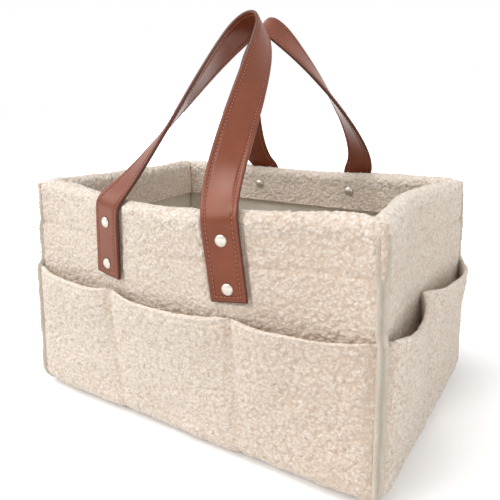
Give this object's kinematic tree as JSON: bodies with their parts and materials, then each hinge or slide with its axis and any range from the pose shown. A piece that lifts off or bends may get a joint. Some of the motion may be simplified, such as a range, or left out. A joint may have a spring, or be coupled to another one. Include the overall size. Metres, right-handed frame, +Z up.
{
  "type": "diaper caddy",
  "caption": "Soft nursery caddy with curly pile walls, outside pockets, bound corner seams, riveted strap handles that fold outwards and movable inside dividers.",
  "frame": {"origin": "middle of the base, on the surface the caddy stands on", "axes": "+X along the length, seen from the front towards the right; +Y towards the back; +Z up"},
  "size_m": [0.3504, 0.2638, 0.3405],
  "materials": {
    "pile": "short curly pile, cream",
    "board": "stiffening board, hidden",
    "lining": "plain woven lining, pale cream",
    "base_cloth": "dense grey felt",
    "foam": "soft padding, hidden",
    "seam_tape": "grey cream seam tape, stitched",
    "strap": "chestnut, satin, stitched along both edges",
    "hook": "hook tape, pale",
    "rivet": "bright nickel dome"
  },
  "bodies": {
    "caddy": {"back_board": "board", "back_left_corner_seam": "seam_tape", "back_left_strap_end": "strap", "back_lining": "lining", "back_panel": "pile", "back_pocket": "pile", "back_right_corner_seam": "seam_tape", "back_right_strap_end": "strap", "base_board": "board", "base_cover": "base_cloth", "base_lining": "lining", "base_pad": "foam", "front_board": "board", "front_left_corner_seam": "seam_tape", "front_left_strap_end": "strap", "front_lining": "lining", "front_panel": "pile", "front_pocket": "pile", "front_right_corner_seam": "seam_tape", "front_right_strap_end": "strap", "left_board": "board", "left_lining": "lining", "left_panel": "pile", "left_pocket": "pile", "right_board": "board", "right_lining": "lining", "right_panel": "pile", "right_pocket": "pile", "rivet_back_left_lower": "rivet", "rivet_back_left_upper": "rivet", "rivet_back_right_lower": "rivet", "rivet_back_right_upper": "rivet", "rivet_front_left_lower": "rivet", "rivet_front_left_upper": "rivet", "rivet_front_right_lower": "rivet", "rivet_front_right_upper": "rivet", "rivet_inner_back_left_lower": "rivet", "rivet_inner_back_left_upper": "rivet", "rivet_inner_back_right_lower": "rivet", "rivet_inner_back_right_upper": "rivet", "rivet_inner_front_left_lower": "rivet", "rivet_inner_front_left_upper": "rivet", "rivet_inner_front_right_lower": "rivet", "rivet_inner_front_right_upper": "rivet"},
    "front_handle": {"front_handle": "strap"},
    "back_handle": {"back_handle": "strap"},
    "left_divider": {"left_divider": "lining", "left_divider_hook_back": "hook", "left_divider_hook_front": "hook"},
    "right_divider": {"right_divider": "lining", "right_divider_hook_back": "hook", "right_divider_hook_front": "hook"}
  },
  "joints": [
    {"name": "front_handle_fold", "type": "hinge", "parent": "caddy", "child": "front_handle", "pos_m": [0, -0.1325, 0.1856], "axis": [1, 0, 0], "range_deg": [0, 195]},
    {"name": "back_handle_fold", "type": "hinge", "parent": "caddy", "child": "back_handle", "pos_m": [0, 0.1216, 0.1878], "axis": [-1, 0, 0], "range_deg": [0, 190]},
    {"name": "left_divider_slide", "type": "slide", "parent": "caddy", "child": "left_divider", "axis": [1, 0, 0], "range_m": [-0.015, 0.03]},
    {"name": "right_divider_slide", "type": "slide", "parent": "caddy", "child": "right_divider", "axis": [1, 0, 0], "range_m": [-0.03, 0.015]}
  ]
}
